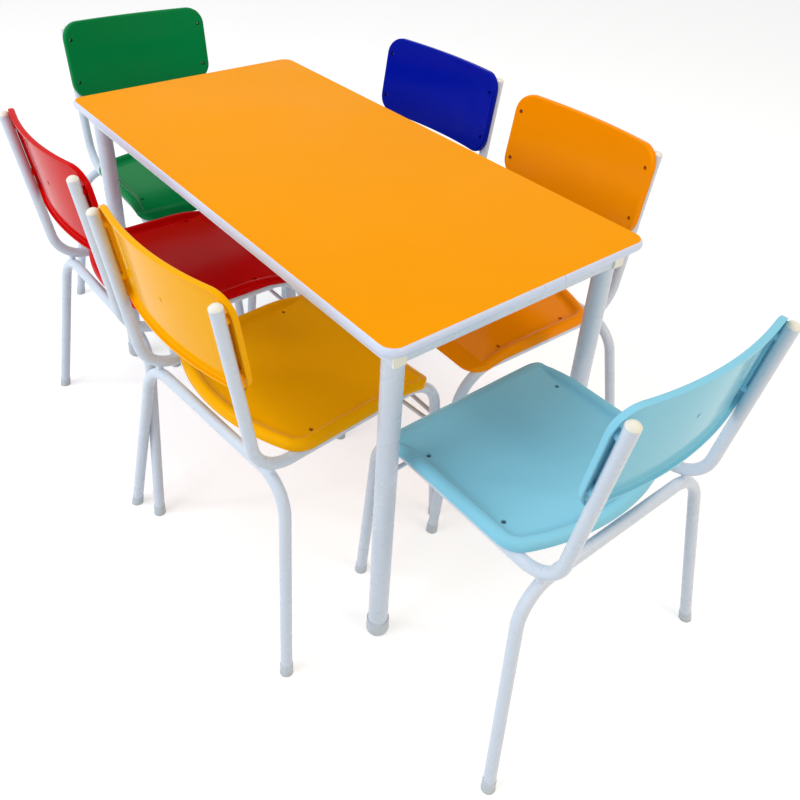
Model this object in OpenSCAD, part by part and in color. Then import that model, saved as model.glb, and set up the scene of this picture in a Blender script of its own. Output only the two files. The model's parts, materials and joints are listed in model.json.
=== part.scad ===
// Activity table for six with stacking side chairs.
// Table top on a tube frame with round legs, and six plastic-shell chairs in six colours.
// Frame: x along the table, y across it, z up, origin on the floor under the middle of the whole set.

/* [Table top] */
// Length over the edge band
table_length = 1200; // [1100:5:1600]
// Width over the edge band
table_width = 600; // [560:5:900]
// Height of the top face above the floor
table_height = 730; // [650:5:800]
// Thickness of the particle board
board_thickness = 16.6; // [15:0.1:25]
// Thickness of the coloured laminate on the board
laminate_thickness = 0.8; // [0.6:0.1:1.2]
// Thickness of the plain backing sheet under the board
backing_thickness = 0.6; // [0.4:0.1:1]
// How far the plastic edge band stands out from the board
band_thickness = 5; // [3:0.5:8]
// Radius of the table corners, outside the band
table_corner_r = 30; // [20:1:60]

/* [Table frame] */
// Diameter of the round legs
leg_d = 38.1; // [30:0.1:42]
// Wall of the leg tubes
leg_wall = 1.5; // [1.2:0.1:3]
// Distance from the outer edge of the top to the leg axis
leg_inset = 50.4; // [44:0.1:70]
// Height of the rectangular rails
rail_height = 38; // [30:1:50]
// Width of the rectangular rails
rail_width = 25; // [20:1:30]
// Wall of the rectangular rails
rail_wall = 1.5; // [1.2:0.1:2]
// How far the rail faces lie in from the leg tangents, negative is outside
rail_face_in = -0.45; // [-5:0.05:2]
// Thickness of the plastic cap on a rail end
rail_cap = 4; // [2:0.5:6]
// Height of the plastic leg shoes
shoe_height = 36; // [25:1:50]

/* [Chair frame] */
// Diameter of the bent tubes
tube_d = 22.2; // [19:0.1:25.4]
// Wall of the bent tubes
tube_wall = 1.5; // [1.2:0.1:2]
// Height of the axis of the seat rails
seat_rail_z = 421; // [340:1:450]
// Distance of each side frame from the middle of the chair
side_x = 182.6; // [170:0.1:215]
// Lean of the back posts, in degrees
back_lean = 8.5; // [5:0.1:14]
// Height of the top of the back posts
post_top_z = 782; // [680:1:830]
// Distance from the seat middle back to where post and rail would meet
rear_corner_y = 219.5; // [205:0.5:245]
// Distance from the seat middle forward to where rail and front leg would meet
front_corner_y = 202; // [190:0.5:230]
// Radius of the rear bend, on the tube axis
rear_bend_r = 78; // [60:1:90]
// Radius of the front bend, on the tube axis
front_bend_r = 86; // [60:1:95]
// Distance from the seat middle forward to a front foot
front_foot_y = 242; // [225:1:270]
// Half the distance between the rear feet
rear_foot_x = 278.4; // [245:0.1:300]
// Distance from the seat middle back to a rear foot
rear_foot_y = 246.4; // [230:0.1:280]
// Half the distance between the points where the hoop legs meet the cross tube
hoop_corner_x = 220; // [205:1:240]
// Distance from the seat middle back to the hoop cross tube
hoop_y = 193.8; // [180:0.1:205]
// Radius of the hoop bends, on the tube axis
hoop_bend_r = 74; // [40:1:80]
// Diameter of the rod between the front legs
brace_d = 9.5; // [8:0.5:14]
// Height of the rod between the front legs
brace_z = 284; // [200:1:320]

/* [Seat shell] */
// Width over the rim
seat_width = 400; // [390:1:440]
// Reach of the shell in front of the seat middle
seat_front = 197; // [190:1:220]
// Reach of the shell behind the seat middle
seat_back = 192; // [180:1:205]
// Gap between the top of the rails and the rim of the shell
seat_gap = 0.4; // [0.3:0.1:3]
// Wall of the moulded shells
shell_wall = 4; // [3:0.5:5]
// Height of the rim above the pan
rim_height = 14; // [10:1:20]
// Radius of the rounded crest of the rim
crest_r = 12; // [10:0.5:14]
// Radius of the hollow between pan and rim
sweep_r = 14; // [10:1:17]
// Where the side rims begin to dip, in front of the seat middle
fade_y = 60; // [30:1:70]
// Radius of the dip in which the side rims run out towards the front
fade_r = 314; // [290:1:330]
// Radius of the rounded front edge
waterfall_r = 45; // [35:1:60]
// Radius of the shell corners seen from above
seat_corner_r = 48; // [46:1:60]
// Radius of the bowed rear edge seen from above
seat_bow_r = 425; // [300:5:900]
// Depth of the lip below the crest along the front
front_lip = 31; // [26:1:34]

/* [Backrest shell] */
// Width over the rim
back_width = 392; // [380:1:430]
// Height over the rim
back_height = 200; // [160:1:230]
// Height of the middle of the backrest
back_z = 700; // [620:1:740]
// Radius of the corners
back_corner_r = 45; // [30:1:60]
// Depth of the rim, front to rear
back_depth = 12; // [9:0.5:16]
// Turn of the flat side wings, in degrees
wing_turn = 12.4; // [6:0.1:16]
// Height between the two rivets on one post
back_rivet_pitch = 111; // [80:1:150]

/* [Rivets] */
// Distance of the seat rivets from the middle of the chair
seat_rivet_x = 162.4; // [150:0.1:165]
// Distance of the seat rivets in front of and behind the seat middle
seat_rivet_y = 91.4; // [60:0.1:100]
// Diameter of the recess round a rivet
recess_d = 9; // [8.5:0.5:12]
// Diameter of a rivet head
rivet_head_d = 8; // [7:0.5:8]
// Diameter of a rivet shank
rivet_d = 4.8; // [4:0.1:5]

/* [Places of the chairs] */
// How far a seat middle on the near long side lies inside the edge of the top
near_tuck = 84; // [20:1:86]
// How far a seat middle on the far long side lies inside the edge of the top
far_tuck = 41; // [20:1:80]
// Distance between the two chairs on a long side
side_pitch = 483; // [480:1:700]
// How far a seat middle at a short end lies outside the edge of the top
end_stand_off = 54; // [45:1:200]

/* [Hidden] */
COLOURS = ["green", "blue", "orange", "red", "yellow", "turquoise"];
CHAIR_PARTS = ["side_frames", "rear_hoop", "front_brace", "seat", "backrest", "rivets",
               "post_caps", "feet"];
TABLE_PARTS = ["table_top_laminate", "table_top_board", "table_backing_sheet", "table_edge_band",
               "table_long_rails", "table_short_rails", "table_legs", "table_leg_shoes",
               "table_rail_caps", "table_top_screws"];

// Shell colours, in the order of COLOURS
shell_tint = ["#0c7a45", "#0a1e9c", "#f08a12", "#c8120e", "#f5a800", "#7fcbe0"];
steel_white = "#e9ecf0";
plastic_cream = "#f3ecd6";
foot_white = "#dfe3e4";
rivet_grey = "#8b8f94";

// How finely curves are drawn
$fn = 64;
// How far a cutting tool runs past the piece it cuts
past = 1;
// Gap between a plug and the bore it sits in
plug_gap = 0.2;
// Gap between a tube and what is shaped to its round
saddle_gap = 0.05;
// Half of the smallest gap kept between two chairs
chair_gap = 8;

// Table sizes that follow from the driving ones
board_l = table_length - 2 * band_thickness;
board_w = table_width - 2 * band_thickness;
board_corner_r = table_corner_r - band_thickness;
top_thickness = laminate_thickness + board_thickness + backing_thickness;
board_bottom = table_height - laminate_thickness - board_thickness;
rail_top = table_height - top_thickness;
rail_bottom = rail_top - rail_height;
leg_x = table_length / 2 - leg_inset;
leg_y = table_width / 2 - leg_inset;
// How much further the long rails reach past the legs than their faces do
rail_overhang = 2;
rail_face_x = leg_x + leg_d / 2 - rail_face_in + rail_overhang;
rail_face_y = leg_y + leg_d / 2 - rail_face_in;
rail_corner_r = 2;
least_corner_r = 0.5;
rail_cap_plug = 14;
// Tongue that holds the edge band in the board
tongue_t = 2;
tongue_l = 9;
// Gap where the two ends of the edge band meet, and its place across the table
seam_gap = 0.5;
seam_y = 25;
// Leg shoe: skirt outside the tube, floor and turned ring
shoe_skirt = 2;
shoe_floor = 6;
shoe_ring_h = 2.5;
shoe_flare = 1.2;
shoe_toe_r = 9;
shoe_band = 5;
shoe_hollow = 12;
// Screws up through the rails into the board
screw_d = 4;
screw_head_d = 8;
screw_head_h = 2.2;
screw_grip = 12;
screws_long = 4;
// Distance from the end of a long rail to its first screw
screw_inset = 75;
screw_clear = 0.5;
// How much wider the hole is that lets the screw head through
screw_access = 1;
screw_head_taper = 2;

// Chair sizes that follow from the driving ones
tube_r = tube_d / 2;
bore_r = tube_r - tube_wall;
rail_crown = seat_rail_z + tube_r;
skirt_z = rail_crown + seat_gap;
// Height of the pan above the lower edge of the skirt
pan_lift = 3.5;
pan_z = skirt_z + pan_lift;
crest_x = seat_width / 2 - crest_r;
crest_z = pan_z + rim_height - crest_r;
sweep_z = pan_z + sweep_r;
rise = sweep_z - crest_z;
sweep_x = crest_x - sqrt(pow(sweep_r + crest_r, 2) - rise * rise);
lip_z = crest_z + crest_r - front_lip;
bow_y = seat_bow_r - seat_back;
corner_x = seat_width / 2 - seat_corner_r;
corner_y = bow_y - sqrt(pow(seat_bow_r - seat_corner_r, 2) - corner_x * corner_x);
bow_angle = asin(corner_x / (seat_bow_r - seat_corner_r));
waterfall_y = seat_front - waterfall_r;
waterfall_z = pan_z - waterfall_r;
// Level under which nothing of the seat is drawn
shell_floor = waterfall_z + 2;
// Front of the seat: rounding of its side edges, how far these lie inside the rims, turn of the dip
front_edge_r = 9;
front_inset = 0.3;
fade_axis_z = pan_z - fade_r;
fade_turn = 20;
// Front corners: where their round begins, how far it starts outside the side, height of their edge
front_reach = waterfall_y + sqrt(waterfall_r * waterfall_r - pow(lip_z - waterfall_z, 2));
front_corner_turn = front_reach - seat_corner_r;
corner_crossing = 1;
corner_rise = 4.5;
rear_joint = [-rear_corner_y, seat_rail_z];
front_joint = [front_corner_y, seat_rail_z];
post_top = [-rear_corner_y - (post_top_z - seat_rail_z) * tan(back_lean), post_top_z];
// Where the tubes end above the floor, inside their feet
tube_end_z = 5;
foot_sleeve = 20;
foot_wall = 0.9;
foot_flare = 1.7;
foot_ring_h = 9;
foot_r = tube_r + foot_flare;
cap_dome_h = 8;
cap_plug = 16;
cap_dome_r = 1.15 * tube_r;
weld_d = 13;
weld_gap = 0.3;
lug_t = 3;
lug_w = 28;
lug_reach = 12;
// Top face of the lugs that carry the seat
boss_h = 3;
boss_d = 18;
lug_top = pan_z - shell_wall - boss_h;
seat_recess_floor = 2.5;
rivet_clear = 0.2;
rivet_hole_d = rivet_d + rivet_clear;
rivet_head_h = 2;
rivet_tail = 5;
rivet_tail_d = 7;
// Backrest frame: y is square to the posts, z runs up along them
back_wing = back_corner_r;
back_bow_r = (back_width / 2 - back_wing * cos(wing_turn)) / sin(wing_turn);
back_face_y = tube_r + back_depth;
// Share of the slant of a wing that its rivets make up for, 1 would be square to the post
rivet_aim = 0.6;
back_rivet_x = side_x - back_face_y * sin(wing_turn) * rivet_aim;
wing_x = back_bow_r * sin(wing_turn);
wing_y = back_face_y - (back_rivet_x - wing_x) * tan(wing_turn);
back_axis_y = wing_y + back_bow_r * cos(wing_turn);
back_mid = back_height / 2 - back_corner_r;
rivet_along = (back_rivet_x - wing_x) / cos(wing_turn);
// Depth of the recess round a backrest rivet
back_recess = shell_wall + 2;
back_boss_d = 16;
// How far the grip of a backrest rivet reaches past the wall of the post
rivet_slack = 3;
back_grip = back_depth + tube_wall + rivet_slack - back_recess;
// Upright ribs behind the wings: thickness, distance between the two, gap to the post
rib_t = 2.5;
rib_pitch = 11;
rib_gap = 3;
edge_round = 5;
inner_round = 3;
gate_d = 7;
gate_h = 0.6;
// How far the bow is drawn past the line where each wing begins, in degrees
bow_over = 1;

// Places of the six seat middles and the way each chair faces, 0 facing +y
near_y = max(table_width / 2 - near_tuck, seat_front + chair_gap);
far_y = max(table_width / 2 - far_tuck, seat_front + chair_gap);
end_x = max(table_length / 2 + end_stand_off,
            side_pitch / 2 + seat_width / 2 + seat_front + chair_gap);
chair_ruled = [[-end_x, 0, -90], [-side_pitch / 2, far_y, 180], [side_pitch / 2, far_y, 180],
               [-side_pitch / 2, -near_y, 0], [side_pitch / 2, -near_y, 0], [end_x, 0, 90]];
// Each chair stands a little off its ruled place: [along x, along y, extra turn]
chair_drift = [[-20, 6, -2.6], [18, 12, 2.3], [6, -10, -1.7],
               [-14, 3, 0.2], [-17, -2, 4.4], [4, -8, -0.1]];
chair_place = chair_ruled + chair_drift;

// Outermost corners of one chair from above: its posts and its rear feet
chair_corners = [for (s = [-1, 1]) for (q = [[side_x + tube_r, -post_top.x + tube_r],
                                             [rear_foot_x + foot_r, rear_foot_y + foot_r]]) [s * q.x, -q.y]];
set_points = [for (p = chair_place) for (c = chair_corners)
              [p.x + c.x * cos(p.z) - c.y * sin(p.z), p.y + c.x * sin(p.z) + c.y * cos(p.z)]];
function middle(v) = (max(v) + min(v)) / 2;
set_middle = [middle([for (q = set_points) q.x]), middle([for (q = set_points) q.y]), 0];

// Brings the middle of the whole set over the origin
module in_set() {
    translate(-set_middle)
        children();
}

module place_chair(i) {
    p = chair_place[i];
    translate([p.x, p.y, 0] - set_middle)
        rotate(p.z)
            children();
}

// Where two curved pieces meet, each stops short of the joint by joint_gap and a thin collar, larger than
// both by joint_swell, closes it. Both are too small to see.
joint_gap = 0.02;
joint_swell = 0.04;
joint_width = 1;
// Unit vector from a to b
function unit(a, b) = (b - a) / norm(b - a);
function heading(a, b) = atan2(b.y - a.y, b.x - a.x);
// Turn at point i of a path, left is positive
function turn(p, i) =
    let (a = unit(p[i - 1], p[i]), b = unit(p[i], p[i + 1]))
    atan2(a.x * b.y - a.y * b.x, a * b);
// Length that the bend at point i takes from each of its two legs
function take(p, r, i) = (i == 0 || i == len(p) - 1) ? 0 : r[i] * tan(abs(turn(p, i)) / 2);
// Straight length between the bends at points i and i + 1
function run(p, r, i) = norm(p[i + 1] - p[i]) - take(p, r, i) - take(p, r, i + 1);

// Frame at the far end of a bend that starts at the origin along +x, positive angles to the left
module after_bend(angle, r) {
    centre = sign(angle) * r;
    translate([0, centre, 0])
        rotate(angle)
            translate([0, -centre, 0])
                children();
}

// Everything behind the plane x = 0, as far as reach
module behind(reach) {
    translate([-reach, -reach, -reach])
        cube([reach, 2 * reach, 2 * reach]);
}

// Everything ahead of the plane x = 0, as far as reach
module ahead(reach) {
    translate([0, -reach, -reach])
        cube([reach, 2 * reach, 2 * reach]);
}

// Round bar along +x
module straight_bar(length, rod) {
    rotate([0, 90, 0])
        cylinder(r = rod, h = length, $fn = 48);
}

// Thin collar round the joint at the origin
module joint_collar(rod) {
    translate([-joint_width / 2, 0, 0])
        straight_bar(joint_width, rod + joint_swell);
}

// Round bar bent by the angle, cut square at both ends, with the collars of both joints
module bend(angle, r, rod) {
    reach = 3 * r;
    difference() {
        translate([0, sign(angle) * r, 0])
            rotate_extrude($fn = 128)
                translate([r, 0])
                    circle(r = rod, $fn = 48);
        behind(reach);
        after_bend(angle, r)
            ahead(reach);
    }
    joint_collar(rod);
    after_bend(angle, r)
        joint_collar(rod);
}

// Rest of a bent bar from point i on, in the frame of that point, heading along +x
module bar_from(p, r, rod, over, i) {
    last = len(p) - 2;
    before = i == 0 ? over : -joint_gap;
    after = i == last ? over : -joint_gap;
    length = run(p, r, i);
    translate([-before, 0, 0])
        straight_bar(length + before + after, rod);
    if (i < last)
        translate([length, 0, 0]) {
            bend(turn(p, i + 1), r[i + 1], rod);
            after_bend(turn(p, i + 1), r[i + 1])
                bar_from(p, r, rod, over, i + 1);
        }
}

// Round bar of radius rod along the flat path p, with bend radii r, in the xy plane
module bent_bar(p, r, rod, over = 0) {
    translate(p[0])
        rotate(heading(p[0], p[1]))
            bar_from(p, r, rod, over, 0);
}

// Path plane of a side frame: first axis forward, second axis up
module side_plane() {
    rotate([90, 0, 90])
        children();
}

front_foot = [front_foot_y, 0];
front_dir = unit(front_joint, front_foot);
front_end = front_foot - front_dir * tube_end_z / abs(front_dir.y);
side_path = [post_top, rear_joint, front_joint, front_end];
side_bends = [0, rear_bend_r, front_bend_r, 0];

module side_bar(rod, over = 0) {
    side_plane()
        bent_bar(side_path, side_bends, rod, over);
}

module side_bars(rod, over = 0) {
    for (s = [-1, 1])
        translate([s * side_x, 0, 0])
            side_bar(rod, over);
}

// Height of the hoop cross tube, so that it lies close under the rear bends
rear_bend_centre = [-rear_corner_y + rear_bend_r * tan((90 - back_lean) / 2), seat_rail_z + rear_bend_r];
hoop_off = hoop_y + rear_bend_centre.x;
hoop_reach = rear_bend_r + tube_d + weld_gap;
hoop_z = hoop_off > 0
    ? rear_bend_centre.y - sqrt(hoop_reach * hoop_reach - hoop_off * hoop_off)
    : seat_rail_z - tube_d - weld_gap;
hoop_lean = atan((rear_foot_y - hoop_y) / hoop_z);
hoop_drop = hoop_z / cos(hoop_lean);
hoop_end = tube_end_z / cos(hoop_lean);
hoop_side = unit([hoop_corner_x, 0], [rear_foot_x, -hoop_drop]);
hoop_foot = [rear_foot_x, -hoop_drop] - hoop_side * hoop_end / abs(hoop_side.y);
hoop_path = [[-hoop_foot.x, hoop_foot.y], [-hoop_corner_x, 0], [hoop_corner_x, 0], hoop_foot];
hoop_bends = [0, hoop_bend_r, hoop_bend_r, 0];

// Plane of the rear hoop: first axis across, second axis up along the leaning hoop
module hoop_plane() {
    translate([0, -hoop_y, hoop_z])
        rotate([90 - hoop_lean, 0, 0])
            children();
}

// Frame of the backrest: origin on the line between the posts at the backrest's middle
module back_plane() {
    translate([0, -rear_corner_y - (back_z - seat_rail_z) * tan(back_lean), back_z])
        rotate([back_lean, 0, 0])
            children();
}

// Frame of one backrest wing: x outward along the wing, y forward out of its face
module wing_plane() {
    translate([0, back_axis_y, 0])
        rotate(wing_turn)
            translate([0, -back_bow_r, 0])
                children();
}

module both_sides() {
    children();
    mirror([1, 0, 0])
        children();
}

// Places of the two rivets of one wing, on its front face
module at_back_rivets() {
    back_plane()
        both_sides()
            wing_plane()
                for (s = [-1, 1])
                    translate([rivet_along, 0, s * back_rivet_pitch / 2])
                        rotate([90, 0, 0])
                            children();
}

module at_seat_rivets() {
    for (sx = [-1, 1])
        for (sy = [-1, 1])
            translate([sx * seat_rivet_x, sy * seat_rivet_y, 0])
                children();
}

// Side frames: two bent tubes with the lugs that carry the seat, drilled for the rivets
module side_frames() {
    lug_l = side_x - seat_rivet_x + lug_reach;
    color(steel_white)
        difference() {
            for (s = [-1, 1])
                translate([s * side_x, 0, 0])
                    difference() {
                        union() {
                            side_bar(tube_r);
                            for (sy = [-1, 1])
                                translate([s > 0 ? -lug_l : 0, sy * seat_rivet_y - lug_w / 2, 0])
                                    translate([0, 0, lug_top - lug_t])
                                        cube([lug_l, lug_w, lug_t]);
                        }
                        side_bar(bore_r, past);
                    }
            at_seat_rivets()
                translate([0, 0, lug_top - lug_t - past])
                    cylinder(d = rivet_hole_d, h = lug_t + 2 * past);
            at_back_rivets()
                translate([0, 0, back_depth - past])
                    cylinder(d = rivet_hole_d, h = tube_r);
        }
}

// Rear hoop: one bent tube welded under the rear bends, with its two weld collars
module rear_hoop() {
    color(steel_white)
        difference() {
            union() {
                hoop_plane()
                    bent_bar(hoop_path, hoop_bends, tube_r);
                for (s = [-1, 1])
                    translate([s * side_x, -hoop_y, hoop_z])
                        cylinder(d = weld_d, h = tube_d);
            }
            hoop_plane()
                bent_bar(hoop_path, hoop_bends, bore_r, past);
            side_bars(tube_r + saddle_gap);
        }
}

// Rod between the front legs, its ends cut to the round of the tubes
module front_brace() {
    along = (seat_rail_z - brace_z) / abs(front_dir.y);
    color(steel_white)
        difference() {
            translate([-side_x, front_corner_y + front_dir.x * along, brace_z])
                rotate([0, 90, 0])
                    cylinder(d = brace_d, h = 2 * side_x);
            side_bars(tube_r + saddle_gap);
        }
}

// Rim section in x and z, drawn in by d, from the hollow beside the pan out to the skirt
module rim_section(d) {
    k = (sweep_r + d) / (sweep_r + crest_r);
    tangent = [sweep_x + (crest_x - sweep_x) * k, sweep_z - rise * k];
    base = block_floor(d);
    difference() {
        union() {
            translate([sweep_x, base])
                square([crest_x - sweep_x, crest_z - base]);
            translate([crest_x, base])
                square([crest_r - d, crest_z - base]);
            translate([crest_x, crest_z])
                circle(r = crest_r - d);
            polygon([[sweep_x, crest_z], [crest_x, crest_z], tangent, [sweep_x, tangent.y]]);
        }
        translate([sweep_x, sweep_z])
            circle(r = sweep_r + d);
    }
}

function block_floor(d) = shell_floor - (d > 1 ? past : 0);

// Whole section of the seat across, in x and z, drawn in by d
module seat_section(d) {
    base = block_floor(d);
    translate([-crest_x, base])
        square([2 * crest_x, pan_z - d - base]);
    rim_section(d);
    mirror([1, 0])
        rim_section(d);
}

// Frame at the middle of the bowed rear edge's circle, turned to where the corner of side s begins
module at_bow_end(s) {
    translate([0, bow_y, 0])
        rotate(s * bow_angle)
            children();
}

// Everything on the outer side of the bow's end on side s
module past_bow_end(s, reach, gap) {
    at_bow_end(s)
        translate([s * gap, 0, 0])
            if (s > 0)
                ahead(reach);
            else
                behind(reach);
}

// Rounded rear corner of side s, from the straight side to the end of the bow
module rear_corner(d, s) {
    reach = 3 * seat_bow_r;
    intersection() {
        difference() {
            translate([s * corner_x, corner_y, 0])
                rotate_extrude($fn = 128)
                    translate([-corner_x, 0])
                        rim_section(d);
            translate([0, corner_y, 0])
                rotate(90)
                    ahead(reach);
        }
        past_bow_end(s, reach, joint_gap);
    }
}

// Rim behind the straight sides: two rounded corners and the bowed rear edge
module rear_rim(d) {
    reach = 3 * seat_bow_r;
    for (s = [-1, 1])
        rear_corner(d, s);
    difference() {
        translate([0, bow_y, 0])
            rotate_extrude($fn = 256)
                translate([seat_bow_r - seat_width / 2, 0])
                    rim_section(d);
        for (s = [-1, 1])
            past_bow_end(s, reach, 0);
        translate([0, bow_y, 0])
            rotate(90)
                ahead(reach);
    }
    for (s = [-1, 1])
        at_bow_end(s)
            translate([-joint_width / 2, seat_width / 2 - seat_bow_r, 0])
                rotate([90, 0, -90])
                    mirror([0, 0, 1])
                        linear_extrude(joint_width)
                            rim_section(d - joint_swell);
}

// Outline of the flat pan behind the straight sides, half way under the rim
module pan_outline() {
    mid = (seat_width / 2 - sweep_x + crest_r) / 2;
    reach = seat_corner_r - mid;
    translate([-corner_x, corner_y])
        square([2 * corner_x, -corner_y]);
    for (s = [-1, 1])
        translate([s * corner_x, corner_y])
            circle(r = reach);
    intersection() {
        translate([0, bow_y])
            circle(r = seat_bow_r - mid, $fn = 256);
        translate([-corner_x, -seat_width])
            square([2 * corner_x, seat_width]);
    }
}

// Solid under the upper face of the seat, drawn in by d on every side
module seat_block(d) {
    base = block_floor(d);
    translate([0, 0, base])
        linear_extrude(pan_z - d - base)
            pan_outline();
    rear_rim(d);
    translate([0, corner_y, 0])
        rotate([90, 0, 180])
            linear_extrude(fade_y - corner_y)
                seat_section(d);
    translate([0, fade_y, 0])
        rotate([90, 0, 180])
            linear_extrude(waterfall_y - fade_y)
                front_section(d);
    difference() {
        union() {
            over_axis(waterfall_y, waterfall_z, 90)
                front_section(d);
            over_axis(fade_y, fade_axis_z, fade_turn) {
                rim_section(d);
                mirror([1, 0])
                    rim_section(d);
            }
        }
        both_sides()
            front_corner_cut(d);
    }
}

// Turns a section, given in x and z, forward and down over the axis at y and z
module over_axis(y, z, angle) {
    translate([0, y, z])
        rotate([0, -90, 0])
            rotate_extrude(angle = angle, $fn = 256)
                rotate(-90)
                    translate([0, -z])
                        children();
}

// Section of the front across: flat, with rounded upper edges, drawn in by d
module front_section(d) {
    base = block_floor(d);
    r = front_edge_r - d;
    side = seat_width / 2 - front_inset - front_edge_r;
    turn_z = pan_z - front_edge_r;
    translate([-side - r, base])
        square([2 * (side + r), turn_z - base]);
    translate([-side, turn_z])
        square([2 * side, r]);
    for (s = [-1, 1])
        translate([s * side, turn_z])
            circle(r = r);
}

// What is cut away outside a rounded front corner
module front_corner_cut(d) {
    difference() {
        translate([corner_x, front_corner_turn, shell_floor - seat_width])
            cube([seat_width, seat_width, 2 * seat_width]);
        translate([corner_x, front_corner_turn, 0])
            rotate_extrude($fn = 128)
                front_corner_section(d);
    }
}

// What is left inside a front corner, from its vertical axis outward: a wall with a rounded upper edge
module front_corner_section(d) {
    wall = seat_corner_r + corner_crossing - d;
    low = shell_floor - seat_width;
    turn_z = pan_z + corner_rise - front_edge_r;
    square_to(wall, low - past, turn_z);
    square_to(wall - front_edge_r + d, turn_z - past, turn_z + front_edge_r - d);
    translate([wall - front_edge_r + d, turn_z])
        intersection() {
            circle(r = front_edge_r - d);
            square(front_edge_r);
        }
}

// Rectangle from the axis out to x and from low to high
module square_to(x, low, high) {
    translate([0, low])
        square([x, high - low]);
}

// Everything below the lower edge of the skirt, which drops towards the front
module below_skirt() {
    drop_from = waterfall_y - waterfall_r;
    side_plane()
        translate([0, 0, -seat_width])
            linear_extrude(2 * seat_width)
                polygon([[-2 * seat_back, 0], [2 * seat_front, 0], [2 * seat_front, lip_z],
                         [seat_front - seat_corner_r / 2, lip_z], [drop_from, skirt_z],
                         [-2 * seat_back, skirt_z]]);
}

// Seat: a dished shell with a raised rim, a rounded front edge and four drilled bosses
module seat(tint) {
    color(tint)
        difference() {
            union() {
                difference() {
                    seat_block(0);
                    seat_block(shell_wall);
                    below_skirt();
                }
                at_seat_rivets()
                    translate([0, 0, lug_top])
                        cylinder(d = boss_d, h = boss_h + shell_wall / 2);
            }
            side_bars(tube_r + saddle_gap);
            at_seat_rivets() {
                translate([0, 0, lug_top - past])
                    cylinder(d = rivet_hole_d, h = boss_h + shell_wall);
                translate([0, 0, lug_top + seat_recess_floor])
                    cylinder(d = recess_d, h = boss_h + shell_wall);
            }
        }
}

// Backrest edge section: x outward with the edge at 0, y forward with the face at 0
module edge_section() {
    difference() {
        union() {
            translate([-back_corner_r, -shell_wall])
                square([back_corner_r, shell_wall]);
            translate([-shell_wall, -back_depth])
                square([shell_wall, back_depth]);
            translate([-shell_wall - inner_round, -shell_wall - inner_round])
                difference() {
                    square(inner_round);
                    circle(r = inner_round);
                }
        }
        difference() {
            translate([-edge_round, -edge_round])
                square(edge_round + past);
            translate([-edge_round, -edge_round])
                circle(r = edge_round);
        }
    }
}

// Bowed middle of the backrest, cut square where the wings begin
module back_bow() {
    difference() {
        translate([0, back_axis_y, 0])
            rotate(-90 - bow_over - wing_turn)
                rotate_extrude(angle = 2 * (wing_turn + bow_over), $fn = 512) {
                    translate([back_bow_r, -back_mid])
                        square([shell_wall, 2 * back_mid]);
                    for (s = [0, 1])
                        mirror([0, s])
                            translate([back_bow_r, back_height / 2])
                                rotate(90)
                                    edge_section();
                }
        both_sides()
            wing_plane()
                translate([0, -back_depth * 2, -back_height])
                    cube([back_width, back_depth * 4, 2 * back_height]);
    }
}

// Two upright ribs behind a wing, from boss to boss, clear of the post
module wing_ribs() {
    depth = back_depth - rib_gap - shell_wall / 2;
    for (s = [-1, 1])
        translate([rivet_along + s * rib_pitch / 2 - rib_t / 2, -shell_wall / 2 - depth, 0])
            translate([0, 0, -back_rivet_pitch / 2])
                cube([rib_t, depth, back_rivet_pitch]);
}

// Backrest: a bowed plate with a deep rim, flat wings and bosses that sit on the posts
module backrest(tint) {
    color(tint)
        difference() {
            union() {
                back_plane() {
                    back_bow();
                    both_sides()
                        wing_plane() {
                            translate([back_wing, 0, -back_mid])
                                linear_extrude(2 * back_mid)
                                    edge_section();
                            wing_ribs();
                            for (s = [0, 1])
                                mirror([0, 0, s])
                                    translate([0, 0, -back_mid])
                                        rotate([-90, 0, 0])
                                            rotate_extrude(angle = 90)
                                                translate([back_corner_r, 0])
                                                    edge_section();
                        }
                    translate([0, back_axis_y - back_bow_r - shell_wall + past, 0])
                        rotate([90, 0, 0])
                            cylinder(d = gate_d, h = gate_h + past);
                }
                at_back_rivets()
                    translate([0, 0, shell_wall / 2])
                        cylinder(d = back_boss_d, h = back_depth + shell_wall);
            }
            at_back_rivets() {
                translate([0, 0, -past])
                    cylinder(d = recess_d, h = back_recess + past);
                cylinder(d = rivet_hole_d, h = 2 * back_depth);
            }
            side_bars(tube_r + saddle_gap, cap_dome_h + past);
        }
}

// One blind rivet along +z from the underside of its head, grip long, with its set tail
module rivet(grip) {
    translate([0, 0, -rivet_head_h])
        intersection() {
            cylinder(d = rivet_head_d, h = rivet_head_h);
            translate([0, 0, rivet_head_d])
                sphere(r = rivet_head_d);
        }
    cylinder(d = rivet_d, h = grip + rivet_tail);
    translate([0, 0, grip])
        cylinder(d = rivet_tail_d, h = rivet_tail - 1);
}

module rivets() {
    color(rivet_grey) {
        at_seat_rivets()
            translate([0, 0, lug_top + seat_recess_floor])
                rotate([180, 0, 0])
                    rivet(seat_recess_floor + lug_t);
        at_back_rivets()
            translate([0, 0, back_recess])
                rivet(back_grip);
    }
}

// Domed plug in the top of each back post
module post_caps() {
    up = unit(rear_joint, post_top);
    color(plastic_cream)
        both_sides()
            translate([side_x, 0, 0])
                side_plane()
                    translate(post_top)
                        rotate([0, 90, atan2(up.y, up.x)]) {
                            intersection() {
                                cylinder(r = tube_r, h = cap_dome_h);
                                translate([0, 0, cap_dome_h - cap_dome_r])
                                    sphere(r = cap_dome_r);
                            }
                            translate([0, 0, -cap_plug])
                                cylinder(r = bore_r - plug_gap, h = cap_plug);
                        }
}

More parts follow.
